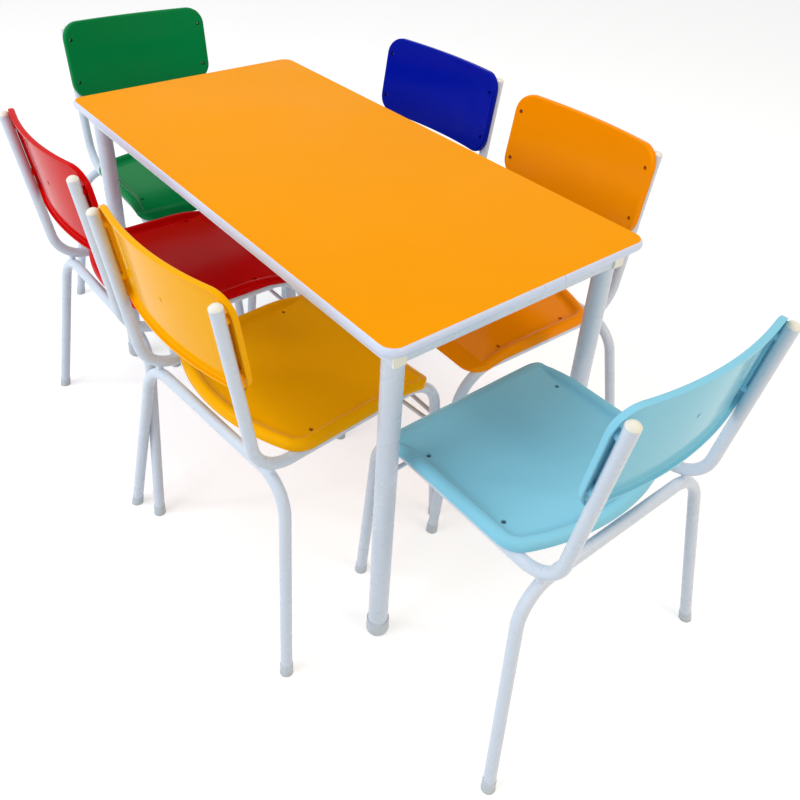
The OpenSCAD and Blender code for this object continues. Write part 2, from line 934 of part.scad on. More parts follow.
// One foot at the end of a tube: sleeve outside, plug inside, flared ring, flat on the floor.
// The frame's z axis runs up the tube and its origin is where the axis meets the floor.
module foot(tube_end) {
    difference() {
        union() {
            cylinder(r = tube_r + foot_wall, h = foot_sleeve);
            cylinder(r1 = tube_r + foot_flare, r2 = tube_r + foot_wall, h = foot_ring_h);
            translate([0, 0, -tube_r])
                cylinder(r = tube_r + foot_flare, h = tube_r);
        }
        difference() {
            translate([0, 0, tube_end])
                cylinder(r = tube_r + saddle_gap, h = foot_sleeve);
            cylinder(r = bore_r - plug_gap, h = foot_sleeve);
        }
    }
}

module feet() {
    front_tilt = atan((front_foot_y - front_corner_y) / seat_rail_z);
    rear_end = tube_end_z / (abs(hoop_side.y) * cos(hoop_lean));
    side_reach = 2 * max(rear_foot_x, rear_foot_y);
    color(foot_white)
        intersection() {
            both_sides() {
                translate([side_x, front_foot_y, 0])
                    rotate([front_tilt, 0, 0])
                        foot(tube_end_z / cos(front_tilt));
                hoop_plane()
                    translate([rear_foot_x, -hoop_drop, 0])
                        rotate([-90, 0, atan2(hoop_side.x, -hoop_side.y)])
                            foot(rear_end);
            }
            translate([-side_reach, -side_reach, 0])
                cube([2 * side_reach, 2 * side_reach, seat_rail_z]);
        }
}

// Rounded slab of the table, drawn in by d from the board's outline
module board_slab(d, h) {
    l = board_l / 2 - board_corner_r;
    w = board_w / 2 - board_corner_r;
    linear_extrude(h)
        union() {
            square([2 * l, 2 * (board_w / 2 - d)], center = true);
            square([2 * (board_l / 2 - d), 2 * w], center = true);
            for (sx = [-1, 1])
                for (sy = [-1, 1])
                    translate([sx * l, sy * w])
                        circle(r = board_corner_r - d);
        }
}

module table_top_laminate() {
    color("#ffa50a")
        translate([0, 0, table_height - laminate_thickness])
            board_slab(0, laminate_thickness);
}

module table_top_board() {
    groove_z = board_bottom + (board_thickness - tongue_t) / 2;
    color("#c9a878")
        difference() {
            translate([0, 0, board_bottom])
                board_slab(0, board_thickness);
            difference() {
                translate([0, 0, groove_z])
                    board_slab(-past, tongue_t);
                translate([0, 0, groove_z - past])
                    board_slab(tongue_l, tongue_t + 2 * past);
            }
            at_top_screws()
                cylinder(d = screw_d, h = screw_grip + backing_thickness);
        }
}

module table_backing_sheet() {
    color("#f2f0ea")
        difference() {
            translate([0, 0, rail_top])
                board_slab(0, backing_thickness);
            at_top_screws()
                cylinder(d = screw_d, h = screw_grip);
        }
}

// Edge band section: x outward from the board's edge, y up from the band's middle
module band_section() {
    half = top_thickness / 2;
    bulge = (half * half + band_thickness * band_thickness) / (2 * band_thickness);
    intersection() {
        translate([0, -half])
            square([band_thickness, top_thickness]);
        translate([band_thickness - bulge, 0])
            circle(r = bulge, $fn = 96);
    }
    translate([-tongue_l, tongue_shift - tongue_t / 2])
        square([tongue_l, tongue_t]);
}

// The board's groove lies at the board's middle, which is not quite the band's middle
tongue_shift = board_bottom + board_thickness / 2 - (table_height - top_thickness / 2);

module table_edge_band() {
    l = board_l / 2 - board_corner_r;
    w = board_w / 2 - board_corner_r;
    color("#eef0f6")
        translate([0, 0, table_height - top_thickness / 2])
            difference() {
                union() {
                    for (s = [-1, 1]) {
                        translate([s * board_l / 2, s * w, 0])
                            rotate([90, 0, s > 0 ? 0 : 180])
                                linear_extrude(2 * w)
                                    band_section();
                        translate([-s * l, s * board_w / 2, 0])
                            rotate([90, 0, s * 90])
                                linear_extrude(2 * l)
                                    band_section();
                    }
                    for (q = [0 : 3])
                        translate([(q == 0 || q == 3 ? 1 : -1) * l, (q < 2 ? 1 : -1) * w, 0])
                            rotate(90 * q)
                                rotate_extrude(angle = 90)
                                    translate([board_corner_r, 0])
                                        band_section();
                }
                translate([board_l / 2 - tongue_l - past, seam_y, -top_thickness])
                    cube([tongue_l + band_thickness + 2 * past, seam_gap, 2 * top_thickness]);
            }
}

// Hollow rectangular tube along +x, standing on z = 0, from y = 0 inward
module rail_tube(length) {
    difference() {
        rail_bar(0, length);
        translate([-past, 0, 0])
            rail_bar(rail_wall, length + 2 * past);
    }
}

// Bar with rounded edges along +x, drawn in by d
module rail_bar(d, length) {
    r = max(rail_corner_r - d, least_corner_r);
    rotate([90, 0, 90])
        linear_extrude(length) {
            translate([d + r, d])
                square([rail_width - 2 * d - 2 * r, rail_height - 2 * d]);
            translate([d, d + r])
                square([rail_width - 2 * d, rail_height - 2 * d - 2 * r]);
            for (y = [d + r, rail_width - d - r])
                for (z = [d + r, rail_height - d - r])
                    translate([y, z])
                        circle(r = r, $fn = 32);
        }
}

module table_long_rails() {
    color(steel_white)
        difference() {
            for (s = [-1, 1])
                translate([-rail_face_x, s * rail_face_y - (s > 0 ? rail_width : 0), rail_bottom])
                    rail_tube(2 * rail_face_x);
            at_top_screws()
                screw_holes();
        }
}

module table_short_rails() {
    span = 2 * (rail_face_y - rail_width);
    color(steel_white)
        difference() {
            for (s = [-1, 1])
                translate([s > 0 ? rail_face_x : rail_width - rail_face_x, -span / 2, rail_bottom])
                    rotate(90)
                        rail_tube(span);
            at_top_screws()
                screw_holes();
        }
}

// Places of the screws, at the top face of the rails
module at_top_screws() {
    reach = rail_face_x - screw_inset;
    for (s = [-1, 1]) {
        for (i = [0 : screws_long - 1])
            translate([reach * (2 * i / (screws_long - 1) - 1), s * (rail_face_y - rail_width / 2), 0])
                translate([0, 0, rail_top])
                    children();
        translate([s * (rail_face_x - rail_width / 2), 0, rail_top])
            children();
    }
}

// Hole for the shank through the upper wall and for the head through the lower wall
module screw_holes() {
    translate([0, 0, -rail_wall - past])
        cylinder(d = screw_d + screw_clear, h = rail_wall + 2 * past);
    translate([0, 0, -rail_height - past])
        cylinder(d = screw_head_d + screw_access, h = rail_wall + 2 * past);
}

module table_top_screws() {
    color(rivet_grey)
        at_top_screws() {
            translate([0, 0, -rail_wall])
                cylinder(d = screw_d, h = rail_wall + backing_thickness + screw_grip);
            translate([0, 0, -rail_wall - screw_head_h])
                cylinder(d1 = screw_head_d - screw_head_taper, d2 = screw_head_d, h = screw_head_h);
        }
}

module table_rail_caps() {
    color(plastic_cream)
        for (sx = [0, 1])
            mirror([sx, 0, 0])
                for (sy = [-1, 1])
                    translate([rail_face_x, sy * rail_face_y - (sy > 0 ? rail_width : 0), rail_bottom]) {
                        rail_bar(0, rail_cap);
                        translate([-rail_cap_plug, 0, 0])
                            rail_bar(rail_wall + plug_gap, rail_cap_plug + rail_cap / 2);
                    }
}

module at_legs() {
    for (sx = [-1, 1])
        for (sy = [-1, 1])
            translate([sx * leg_x, sy * leg_y, 0])
                children();
}

module table_legs() {
    color(steel_white)
        at_legs()
            translate([0, 0, shoe_floor])
                difference() {
                    cylinder(d = leg_d, h = rail_bottom - shoe_floor);
                    translate([0, 0, -past])
                        cylinder(d = leg_d - 2 * leg_wall, h = rail_bottom - shoe_floor + 2 * past);
                }
}

// Shoe: a cup round the tube's end with a turned ring at its top and a rounded foot
module table_leg_shoes() {
    r = leg_d / 2;
    out = r + shoe_skirt + shoe_flare;
    color(foot_white)
        at_legs()
            rotate_extrude()
                difference() {
                    union() {
                        square([out - shoe_toe_r, shoe_toe_r]);
                        translate([out - shoe_toe_r, shoe_toe_r])
                            circle(r = shoe_toe_r);
                        translate([0, shoe_toe_r])
                            square([out, shoe_band]);
                        polygon([[0, shoe_toe_r], [out, shoe_toe_r + shoe_band],
                                 [r + shoe_skirt, shoe_height], [0, shoe_height]]);
                        translate([0, shoe_height - shoe_ring_h])
                            square([r + shoe_skirt + shoe_flare / 2, shoe_ring_h]);
                    }
                    translate([r - leg_wall, shoe_floor])
                        square([leg_wall, shoe_height]);
                    translate([0, shoe_hollow])
                        square([r - leg_wall - shoe_skirt, shoe_height]);
                }
}

in_set() table_top_laminate();
in_set() table_top_board();
in_set() table_backing_sheet();
in_set() table_edge_band();
in_set() table_long_rails();
in_set() table_short_rails();
in_set() table_legs();
in_set() table_leg_shoes();
in_set() table_rail_caps();
in_set() table_top_screws();
for (i = [0 : len(COLOURS) - 1]) {
    place_chair(i) side_frames();
    place_chair(i) rear_hoop();
    place_chair(i) front_brace();
    place_chair(i) seat(shell_tint[i]);
    place_chair(i) backrest(shell_tint[i]);
    place_chair(i) rivets();
    place_chair(i) post_caps();
    place_chair(i) feet();
}
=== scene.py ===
import json
import math

import bmesh
import bpy
from bpy.props import FloatProperty, FloatVectorProperty, IntProperty, PointerProperty
from mathutils import Matrix, Vector
from mathutils.bvhtree import BVHTree


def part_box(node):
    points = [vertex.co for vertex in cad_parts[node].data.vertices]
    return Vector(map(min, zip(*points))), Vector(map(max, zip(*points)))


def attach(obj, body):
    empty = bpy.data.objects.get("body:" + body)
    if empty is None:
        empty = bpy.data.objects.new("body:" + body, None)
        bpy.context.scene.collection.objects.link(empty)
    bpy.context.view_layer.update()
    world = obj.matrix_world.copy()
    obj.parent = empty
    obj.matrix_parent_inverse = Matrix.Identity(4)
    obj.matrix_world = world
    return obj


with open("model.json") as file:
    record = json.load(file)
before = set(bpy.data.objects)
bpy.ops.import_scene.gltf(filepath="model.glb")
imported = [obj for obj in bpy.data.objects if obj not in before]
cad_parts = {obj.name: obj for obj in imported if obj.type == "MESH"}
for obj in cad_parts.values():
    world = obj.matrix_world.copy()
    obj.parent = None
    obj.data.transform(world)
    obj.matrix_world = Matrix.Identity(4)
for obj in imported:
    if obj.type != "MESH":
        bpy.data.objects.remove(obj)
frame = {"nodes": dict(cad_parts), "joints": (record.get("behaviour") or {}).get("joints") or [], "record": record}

bl_info = {
    "name": "Activity table set",
    "version": (1, 0, 0),
    "blender": (4, 5, 0),
    "location": "View3D > Sidebar > Table Set",
    "description": "Finishes, weld beads and studio of an activity table with six stacking chairs",
    "category": "Object",
}

CHAIRS = ("green", "blue", "orange", "red", "yellow", "turquoise")
MM = 0.001
WHITE = (1.0, 1.0, 1.0)

# A chair's own frame, in millimetres: zero is on the floor under the middle of the seat, and
# the sitter faces +Y. Each pair is a y and a z, and the last is the way a hoop bead faces.
TUBE_D = 22.2
SIDE_X = 182.6
ROD_D = 9.5
ROD_PLACE = (215.0, 284.0)
HOOP_BEAD_PLACE = (-187.9, 422.8)
HOOP_BEAD_FACES = (-52.3, -85.8)

# A joint whose direction rises by more than this lifts its chair
LIFTING = 0.5

# Rings of the weld beads, in millimetres, and how many ripples go round each
HOOP_BEAD_RING = 7.2
HOOP_BEAD_RIPPLES = 17
ROD_BEAD_OFF_TUBE = 0.2
ROD_BEAD_OFF_ROD = 0.6
ROD_BEAD_RIPPLES = 11
# Thickness of a rod bead as a share of a hoop bead's
ROD_BEAD_SHARE = 0.7

# Section of a bead: its corners, then its quick ripple and its slow sway as shares of its
# thickness, with the sway's waves in a turn and where they start
BEAD_SIDES = 10
RIPPLE_DEPTH = 0.16
SWAY_DEPTH = 0.07
SWAY_WAVES = 3.1
SWAY_START = 0.4

# Radius and height of the mark that the mould leaves where the plastic flowed in, millimetres
GATE_PROFILE = (
    (0.0, 0.3), (0.9, 0.28), (1.5, 0.1), (2.7, 0.08), (3.0, 0.14), (3.5, 0.12), (4.0, -0.2))
# Where the lines that find the places of the marks start, in metres: behind a chair, and
# above the floor under its seat
BEHIND_CHAIR = 0.6
BELOW_SEAT = 0.3

# Seam of the edge band, in metres: beyond which x it lies, and half its width
SEAM_END = 0.5
SEAM_HALF = 0.0005

# Height over the floor that the scuffs on the feet fade over, in metres
SCUFF_HEIGHT = 0.025

# Part of a noise pattern, from 0 to 1, that holds most of it
PATTERN_LOW = 0.3
PATTERN_HIGH = 0.7

# Sockets of the Mix node, which have the same names for numbers and colours
MIX_FACTOR = 0
MIX_NUMBERS = (2, 3)
MIX_COLOURS = (6, 7)
MIX_NUMBER_OUT = 0
MIX_COLOUR_OUT = 2

# Floor: two close greys in soft clouds, and the glow that lifts it to white where it is seen
FLOOR_GREYS = (0.80, 0.82)
FLOOR_CLOUDS = 3.0
FLOOR_ROUGHNESS = 0.9
FLOOR_MIRROR = 0.1
FLOOR_GLOW = 0.46

# Each lamp: its place, the height over the middle of the floor that it points at, its side,
# its tint, and whether a gloss mirrors it
LAMPS = {
    "key": ((-0.5, -3.3, 2.5), 0.5, 2.8, (0.86, 0.94, 1.0), False),
    "window": ((-1.6, -2.6, 3.0), 0.5, 0.34, WHITE, True),
    "fill": ((3.2, 0.8, 2.2), 0.5, 1.6, (1.0, 0.79, 0.56), True),
    "top": ((-0.6, 0.6, 3.6), 0.6, 2.6, WHITE, False),
}

# Camera of the photograph: place in metres, turn in degrees, sensor and lens in millimetres,
# and shift as a share of the picture's width
CAMERA_PLACE = (1.33198, -0.93377, 1.44777)
CAMERA_TURN = (55.6798, -2.6638, 51.4629)
CAMERA_SENSOR = 36.0
CAMERA_LENS = 37.652
CAMERA_SHIFT = (0.00929, -0.10946)


def srgb(red, green, blue):
    """Scene colour of a paint given as 0 to 255 screen values."""
    def lin(v):
        v /= 255.0
        return v / 12.92 if v <= 0.04045 else ((v + 0.055) / 1.055) ** 2.4
    return (lin(red), lin(green), lin(blue))


def shade(colour, gain):
    """The colour, darker under a gain of 1 and lighter above it."""
    return tuple(min(1.0, c * gain) for c in colour[:3])


def toward(colour, other, share):
    """Part way from one colour to another."""
    return tuple(a + (b - a) * share for a, b in zip(colour[:3], other[:3]))


SCUFF_GREY = srgb(132, 132, 130)


# Sizes and colours that can be changed

class TableFinish(bpy.types.PropertyGroup):
    laminate: FloatVectorProperty(
        name="Laminate", description="Colour of the laminate on the top",
        subtype="COLOR", size=3, min=0, max=1, default=srgb(255, 162, 0))
    laminate_gloss: FloatProperty(
        name="Laminate roughness", description="Roughness of the laminate",
        subtype="FACTOR", min=0, max=1, default=0.36)
    band: FloatVectorProperty(
        name="Edge band", description="Colour of the plastic band round the top",
        subtype="COLOR", size=3, min=0, max=1, default=srgb(216, 226, 250))
    board: FloatVectorProperty(
        name="Board", description="Colour of the particle board",
        subtype="COLOR", size=3, min=0, max=1, default=srgb(196, 168, 124))
    backing: FloatVectorProperty(
        name="Backing", description="Colour of the sheet under the board",
        subtype="COLOR", size=3, min=0, max=1, default=srgb(228, 227, 222))
    seam_place: FloatProperty(
        name="Band seam", description="Where the ends of the edge band meet, across the table",
        subtype="DISTANCE", unit="LENGTH", default=0.052)


class TubeFinish(bpy.types.PropertyGroup):
    powder: FloatVectorProperty(
        name="Powder coat", description="Colour of the coated tubes",
        subtype="COLOR", size=3, min=0, max=1, default=srgb(212, 223, 237))
    peel: FloatProperty(
        name="Orange peel", description="Depth of the ripple in the powder coat",
        subtype="DISTANCE", unit="LENGTH", min=0, max=0.001, default=0.00006)
    caps: FloatVectorProperty(
        name="Caps", description="Colour of the plastic caps",
        subtype="COLOR", size=3, min=0, max=1, default=srgb(246, 243, 230))
    feet: FloatVectorProperty(
        name="Feet", description="Colour of the plastic feet and leg shoes",
        subtype="COLOR", size=3, min=0, max=1, default=srgb(206, 214, 221))
    zinc: FloatVectorProperty(
        name="Zinc", description="Colour of the rivets and screws",
        subtype="COLOR", size=3, min=0, max=1, default=srgb(118, 118, 122))
    bead: FloatProperty(
        name="Weld bead", description="Half the thickness of a weld bead",
        subtype="DISTANCE", unit="LENGTH", min=0.001, max=0.004, default=0.0022)
    bead_steps: IntProperty(
        name="Bead steps", description="Steps round a weld bead",
        min=12, max=96, default=40)


class ShellFinish(bpy.types.PropertyGroup):
    green: FloatVectorProperty(
        name="Green", description="Colour of the green shells",
        subtype="COLOR", size=3, min=0, max=1, default=srgb(4, 130, 66))
    blue: FloatVectorProperty(
        name="Blue", description="Colour of the blue shells",
        subtype="COLOR", size=3, min=0, max=1, default=srgb(0, 20, 164))
    orange: FloatVectorProperty(
        name="Orange", description="Colour of the orange shells",
        subtype="COLOR", size=3, min=0, max=1, default=srgb(255, 150, 0))
    red: FloatVectorProperty(
        name="Red", description="Colour of the red shells",
        subtype="COLOR", size=3, min=0, max=1, default=srgb(212, 2, 2))
    yellow: FloatVectorProperty(
        name="Yellow", description="Colour of the yellow shells",
        subtype="COLOR", size=3, min=0, max=1, default=srgb(255, 180, 0))
    turquoise: FloatVectorProperty(
        name="Turquoise", description="Colour of the turquoise shells",
        subtype="COLOR", size=3, min=0, max=1, default=srgb(142, 212, 236))
    gloss: FloatProperty(
        name="Roughness", description="Roughness of the moulded shells",
        subtype="FACTOR", min=0, max=1, default=0.14)
    gate_steps: IntProperty(
        name="Gate steps", description="Steps round a gate mark",
        min=12, max=96, default=32)


class Studio(bpy.types.PropertyGroup):
    dome: FloatProperty(
        name="Dome", description="Strength of the even light from all round",
        min=0, max=2, default=0.5)
    key: FloatProperty(
        name="Key", description="Power of the cool light from the left of the camera",
        unit="POWER", min=0, max=500, default=66)
    window: FloatProperty(
        name="Window", description="Power of the small light that draws the highlights",
        unit="POWER", min=0, max=500, default=12)
    fill: FloatProperty(
        name="Fill", description="Power of the warm light from the right",
        unit="POWER", min=0, max=500, default=34)
    top: FloatProperty(
        name="Overhead", description="Power of the light over the table",
        unit="POWER", min=0, max=500, default=20)
    floor_half: FloatProperty(
        name="Floor", description="Half the side of the floor",
        subtype="DISTANCE", unit="LENGTH", min=2, max=30, default=9)


# Finishes

class Finish:
    """A node material: one principled shader and the textures that feed it."""

    def __init__(self, name):
        self.material = bpy.data.materials.new(name)
        self.material.use_nodes = True
        self.tree = self.material.node_tree
        self.shader = self.tree.nodes["Principled BSDF"]
        self.place = self.tree.nodes.new("ShaderNodeTexCoord").outputs["Object"]
        self.normal = None

    def node(self, kind, **values):
        """A new node, with its attributes or inputs set by name."""
        made = self.tree.nodes.new(kind)
        for key, value in values.items():
            if hasattr(made, key):
                setattr(made, key, value)
            else:
                made.inputs[key.capitalize()].default_value = value
        return made

    def link(self, source, target):
        """Feeds one socket into another."""
        self.tree.links.new(source, target)

    def stretched(self, along, turn=(0, 0, 0)):
        """Object place, scaled along its axes and turned."""
        mapping = self.node("ShaderNodeMapping")
        mapping.inputs["Scale"].default_value = along
        mapping.inputs["Rotation"].default_value = turn
        self.link(self.place, mapping.inputs["Vector"])
        return mapping.outputs["Vector"]

    def noise(self, scale, detail=2.0, rough=0.5, where=None):
        """Cloudy pattern from 0 to 1."""
        made = self.node("ShaderNodeTexNoise", scale=scale, detail=detail, roughness=rough)
        self.link(where or self.place, made.inputs["Vector"])
        return made.outputs["Fac"]

    def cells(self, scale, where=None):
        """Node of a pattern of cells, with a colour each and the distance to their middles."""
        made = self.node("ShaderNodeTexVoronoi", scale=scale)
        self.link(where or self.place, made.inputs["Vector"])
        return made

    def ramp(self, pattern, *stops):
        """Colour or grey by position; each stop is (position, value)."""
        made = self.node("ShaderNodeValToRGB")
        bar = made.color_ramp
        while len(bar.elements) < len(stops):
            bar.elements.new(0.5)
        for element, (position, value) in zip(bar.elements, stops):
            element.position = position
            rgb = value if hasattr(value, "__len__") else (value,) * 3
            element.color = (*rgb[:3], 1.0)
        self.link(pattern, made.inputs["Fac"])
        return made.outputs["Color"]

    def between(self, pattern, low, high):
        """Colour or grey that goes from low to high over most of a pattern."""
        return self.ramp(pattern, (PATTERN_LOW, low), (PATTERN_HIGH, high))

    def math(self, operation, first, second=None):
        """A sum on sockets or plain numbers."""
        made = self.node("ShaderNodeMath", operation=operation)
        for socket, value in zip(made.inputs, (first, second)):
            if value is None:
                continue
            if isinstance(value, (int, float)):
                socket.default_value = value
            else:
                self.link(value, socket)
        return made.outputs["Value"]

    def mix(self, factor, first, second):
        """Colour mix by a socket; each colour is a socket or plain."""
        made = self.node("ShaderNodeMix", data_type="RGBA")
        self.link(factor, made.inputs[MIX_FACTOR])
        for index, value in zip(MIX_COLOURS, (first, second)):
            if isinstance(value, bpy.types.NodeSocket):
                self.link(value, made.inputs[index])
            else:
                made.inputs[index].default_value = (*value[:3], 1.0)
        return made.outputs[MIX_COLOUR_OUT]

    def axis(self, name):
        """One coordinate of the object place."""
        made = self.node("ShaderNodeSeparateXYZ")
        self.link(self.place, made.inputs["Vector"])
        return made.outputs[name]

    def colour(self, socket):
        """Feeds the colour of the surface."""
        self.link(socket, self.shader.inputs["Base Color"])

    def rough(self, socket):
        """Feeds the roughness of the surface."""
        self.link(socket, self.shader.inputs["Roughness"])

    def sheen_off(self, level):
        """Weaker mirror, so that a deep colour stays deep under the pale room."""
        self.shader.inputs["Specular IOR Level"].default_value = level

    def bump(self, height, distance, strength):
        """Adds a relief to those already on the surface."""
        made = self.node("ShaderNodeBump")
        made.inputs["Distance"].default_value = distance
        made.inputs["Strength"].default_value = strength
        self.link(height, made.inputs["Height"])
        if self.normal is not None:
            self.link(self.normal, made.inputs["Normal"])
        self.normal = made.outputs["Normal"]
        self.link(self.normal, self.shader.inputs["Normal"])


def laminate(look):
    """High-pressure laminate: fine pearl texture, faint clouding, rubbed patches."""
    f = Finish("amber_laminate")
    paint = look.laminate
    gloss = look.laminate_gloss
    clouds = f.noise(scale=2.2, detail=4.0, rough=0.6)
    f.colour(f.ramp(
        clouds, (0.25, shade(paint, 0.975)), (0.55, paint), (0.8, shade(paint, 1.02))))
    f.sheen_off(0.03)
    rubbed = f.noise(scale=5.5, detail=3.0, rough=0.55)
    f.rough(f.between(rubbed, low=gloss - 0.05, high=gloss + 0.07))
    f.bump(f.noise(scale=950.0, detail=2.0, rough=0.6), distance=0.00005, strength=0.35)
    f.bump(f.noise(scale=160.0, detail=2.0, rough=0.5), distance=0.00012, strength=0.25)
    return f.material


def edge_band(look):
    """Extruded band: long draw lines, a seam where the ends meet."""
    f = Finish("edge_band")
    paint = look.band
    lines = f.stretched(along=(4.0, 4.0, 900.0))
    drawn = f.noise(scale=1.0, detail=2.0, rough=0.5, where=lines)
    tone = f.between(drawn, low=shade(paint, 0.985), high=paint)
    off_seam = f.math("ABSOLUTE", f.math("SUBTRACT", f.axis("Y"), look.seam_place))
    on_end = f.math("GREATER_THAN", f.axis("X"), SEAM_END)
    seam = f.math("MULTIPLY", f.math("LESS_THAN", off_seam, SEAM_HALF), on_end)
    f.colour(f.mix(seam, tone, shade(paint, 0.45)))
    f.rough(f.between(f.noise(scale=14.0, detail=3.0), low=0.3, high=0.36))
    f.bump(drawn, distance=0.00002, strength=0.3)
    return f.material


def particle_board(look):
    """Pressed chips in several browns."""
    f = Finish("particle_board")
    paint = look.board
    chips = f.cells(scale=260.0, where=f.stretched(along=(1.0, 1.0, 2.6)))
    f.colour(f.ramp(
        chips.outputs["Color"],
        (0.15, shade(paint, 0.62)), (0.5, paint), (0.85, shade(paint, 1.3))))
    f.rough(f.ramp(chips.outputs["Distance"], (0.0, 0.7), (1.0, 0.9)))
    f.bump(chips.outputs["Distance"], distance=0.0006, strength=0.6)
    return f.material


def backing_sheet(look):
    """Plain foil under the board, slightly mottled by the chips behind it."""
    f = Finish("backing_sheet")
    paint = look.backing
    mottle = f.noise(scale=48.0, detail=3.0, rough=0.6)
    f.colour(f.between(mottle, low=shade(paint, 0.93), high=paint))
    f.rough(f.between(f.noise(scale=9.0, detail=2.0), low=0.46, high=0.58))
    f.bump(f.cells(scale=210.0).outputs["Distance"], distance=0.00009, strength=0.35)
    return f.material


def powder_coat(look):
    """Gloss powder coat: orange peel, a touch of grey where it is handled."""
    f = Finish("white_tube")
    paint = look.powder
    handled = f.noise(scale=7.0, detail=4.0, rough=0.6)
    f.colour(f.ramp(
        handled, (0.28, shade(paint, 0.985)), (0.5, paint), (0.8, toward(paint, WHITE, 0.05))))
    f.rough(f.between(f.noise(scale=22.0, detail=3.0), low=0.26, high=0.3))
    f.bump(f.noise(scale=420.0, detail=1.0, rough=0.4), distance=look.peel, strength=0.04)
    f.bump(f.noise(scale=1600.0, detail=1.0), distance=0.00001, strength=0.05)
    return f.material


def shell_plastic(name, paint, gloss):
    """Injection-moulded shell: soft sink marks, fine mould grain, hairline scuffs."""
    f = Finish(name + "_shell")
    flow = f.noise(scale=5.0, detail=4.0, rough=0.55, where=f.stretched(along=(1.0, 1.6, 1.0)))
    f.colour(f.ramp(
        flow, (0.25, shade(paint, 0.975)), (0.52, paint), (0.82, shade(paint, 1.02))))
    f.sheen_off(0.05)
    hairlines = f.stretched(along=(2.0, 34.0, 4.0), turn=(0.0, 0.0, 0.9))
    scuffs = f.noise(scale=9.0, detail=3.0, rough=0.7, where=hairlines)
    scuffed = f.ramp(scuffs, (0.0, 0.0), (0.68, 0.0), (0.76, 0.09))
    handled = f.noise(scale=16.0, detail=3.0, rough=0.6)
    worn = f.between(handled, low=gloss - 0.03, high=gloss + 0.04)
    f.rough(f.math("ADD", worn, scuffed))
    f.bump(f.noise(scale=8.0, detail=1.0, rough=0.4), distance=0.0004, strength=0.25)
    f.bump(f.noise(scale=820.0, detail=2.0, rough=0.5), distance=0.00002, strength=0.25)
    return f.material


def cap_plastic(look):
    """Satin cream polyethylene with mould grain."""
    f = Finish("cream_plastic")
    paint = look.caps
    f.colour(f.between(f.noise(scale=40.0, detail=3.0), low=shade(paint, 0.92), high=paint))
    f.rough(f.between(f.noise(scale=120.0, detail=2.0), low=0.36, high=0.48))
    f.bump(f.noise(scale=1100.0, detail=2.0), distance=0.00005, strength=0.4)
    return f.material


def foot_plastic(look):
    """Satin feet, scuffed grey towards the floor."""
    f = Finish("foot_plastic")
    paint = look.feet
    tone = f.between(f.noise(scale=60.0, detail=3.0), low=shade(paint, 0.9), high=paint)
    height = f.math("MULTIPLY", f.axis("Z"), 1.0 / SCUFF_HEIGHT)
    low_down = f.ramp(height, (0.0, 0.4), (0.2, 0.08), (0.6, 0.0))
    rubs = f.ramp(f.noise(scale=320.0, detail=3.0, rough=0.7), (0.35, 0.2), (0.6, 1.0))
    f.colour(f.mix(f.math("MULTIPLY", low_down, rubs), tone, SCUFF_GREY))
    f.rough(f.between(f.noise(scale=180.0, detail=2.0), low=0.42, high=0.56))
    f.bump(f.noise(scale=700.0, detail=3.0, rough=0.6), distance=0.00008, strength=0.5)
    return f.material


def zinc_plate(look):
    """Zinc-plated steel with fine turning marks."""
    f = Finish("zinc_steel")
    paint = look.zinc
    f.colour(f.between(f.noise(scale=420.0, detail=3.0), low=shade(paint, 0.8), high=paint))
    f.rough(f.between(f.noise(scale=900.0, detail=2.0), low=0.26, high=0.42))
    f.bump(f.noise(scale=2400.0, detail=2.0), distance=0.00003, strength=0.4)
    f.shader.inputs["Metallic"].default_value = 1.0
    return f.material


def wear(node, material):
    """Puts a material into every slot of a node of the frame."""
    if node not in frame["nodes"]:
        raise RuntimeError("the frame has no node " + node)
    piece = frame["nodes"][node]
    if not piece.material_slots:
        piece.data.materials.append(material)
    for slot in piece.material_slots:
        slot.material = material


# Pieces that ride on a chair

def chair_matrix(colour):
    """Place and turn of a chair in the set, from its seat mount and its joint.

    A chair that is pulled out goes backwards, and one that is lifted goes forwards as it rises.
    """
    mount = next(m for m in frame["record"]["mounts"] if m["name"] == colour + "_seat_face")
    joint = next(j for j in frame["joints"] if j["child"] == colour + "_chair")
    x, y, z = joint["axis"]
    forward_x, forward_y = (x, y) if z > LIFTING else (-x, -y)
    yaw = math.atan2(-forward_x, forward_y)
    where = Vector((mount["pos_m"][0], mount["pos_m"][1], 0.0))
    return Matrix.Translation(where) @ Matrix.Rotation(yaw, 4, "Z")


def steps_round(normal, steps):
    """Angle and outward direction of each step round a normal."""
    side = normal.orthogonal().normalized()
    across = normal.cross(side)
    for i in range(steps):
        angle = 2.0 * math.pi * i / steps
        yield angle, side * math.cos(angle) + across * math.sin(angle)


def mesh_of(bm, name):
    """Mesh of a finished bmesh, with its faces turned outwards."""
    bmesh.ops.recalc_face_normals(bm, faces=bm.faces)
    mesh = bpy.data.meshes.new(name)
    bm.to_mesh(mesh)
    bm.free()
    return mesh


def add_to_chair(colour, mesh, material):
    """Puts a mesh in the scene as a piece of a chair, under the mesh's name."""
    mesh.materials.append(material)
    piece = bpy.data.objects.new(mesh.name, mesh)
    bpy.context.scene.collection.objects.link(piece)
    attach(piece, colour + "_chair")


# Weld beads

